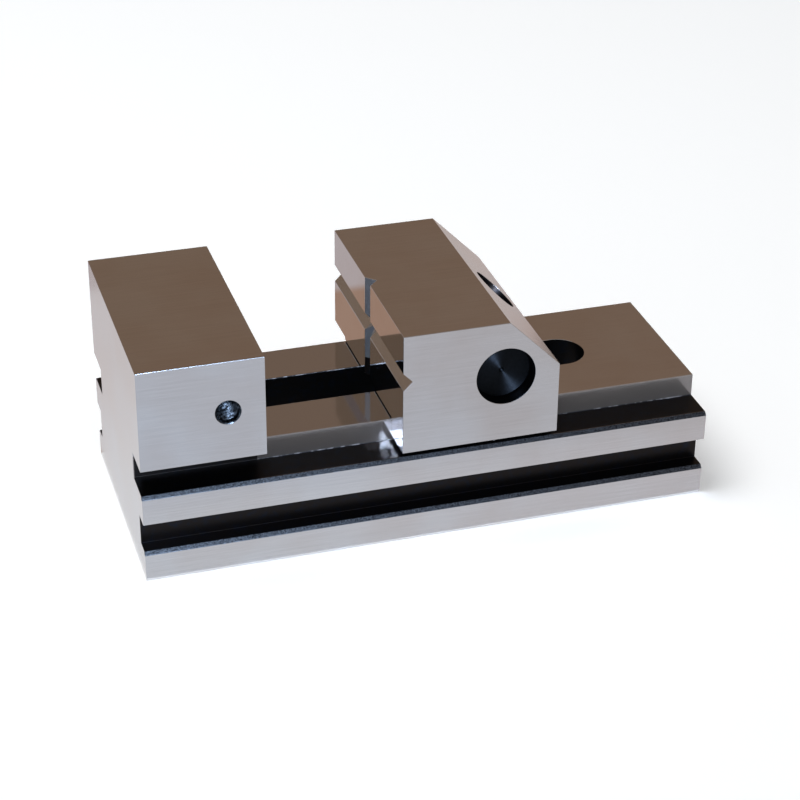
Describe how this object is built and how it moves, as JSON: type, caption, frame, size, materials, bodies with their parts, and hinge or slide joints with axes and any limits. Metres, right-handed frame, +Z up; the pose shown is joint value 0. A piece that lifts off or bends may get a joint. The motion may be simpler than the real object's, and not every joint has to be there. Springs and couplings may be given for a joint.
{
  "type": "precision grinding vise",
  "caption": "Low ground-steel vise with a fixed jaw, a movable jaw with V-grooves on guide rails, and an angled clamping screw that locks a cross pin into notches under the rails.",
  "frame": {"origin": "middle of the ground base, on the underside", "axes": "+X along the vise from the fixed jaw to the open end, +Y towards the back, +Z up from the ground base"},
  "size_m": [0.172, 0.073, 0.0677],
  "materials": {
    "ground_steel": "fine surface-ground, edges lightly broken",
    "turned_steel": "turned and hardened, thin oil film",
    "washer_steel": "hardened, tumbled",
    "black_oxide_steel": "black oxide, satin",
    "spring_steel": "tempered and oiled",
    "keeper_steel": "milled"
  },
  "bodies": {
    "base": {"vise_body": "ground_steel"},
    "jaw": {"movable_jaw": "ground_steel", "keeper_plate": "keeper_steel", "keeper_screws": "black_oxide_steel", "keeper_spring_washers": "spring_steel"},
    "barrel": {"swivel_barrel": "turned_steel", "thrust_washer": "washer_steel"},
    "screw": {"clamping_screw": "black_oxide_steel", "retaining_ring": "spring_steel"},
    "pin": {"cross_pin": "turned_steel"}
  },
  "joints": [
    {"name": "jaw_slide", "type": "slide", "parent": "base", "child": "jaw", "axis": [1, 0, 0], "range_m": [-0.04, 0.03]},
    {"name": "barrel_swivel", "type": "hinge", "parent": "jaw", "child": "barrel", "pos_m": [0.0215, 0, 0.0505], "axis": [0, 1, 0], "range_deg": [-3, 0]},
    {"name": "screw_spin", "type": "hinge", "parent": "barrel", "child": "screw", "pos_m": [0.0215, 0, 0.0505], "axis": [-0.7071, 0, -0.7071], "range_deg": [0, 1080]},
    {"name": "pin_travel", "type": "slide", "parent": "barrel", "child": "pin", "axis": [0.7071, 0, 0.7071], "range_m": [0, 0.00375]}
  ],
  "couplings": [
    {"joint": "screw_spin", "follows": "pin_travel", "rad_per_m": 5026.5}
  ]
}
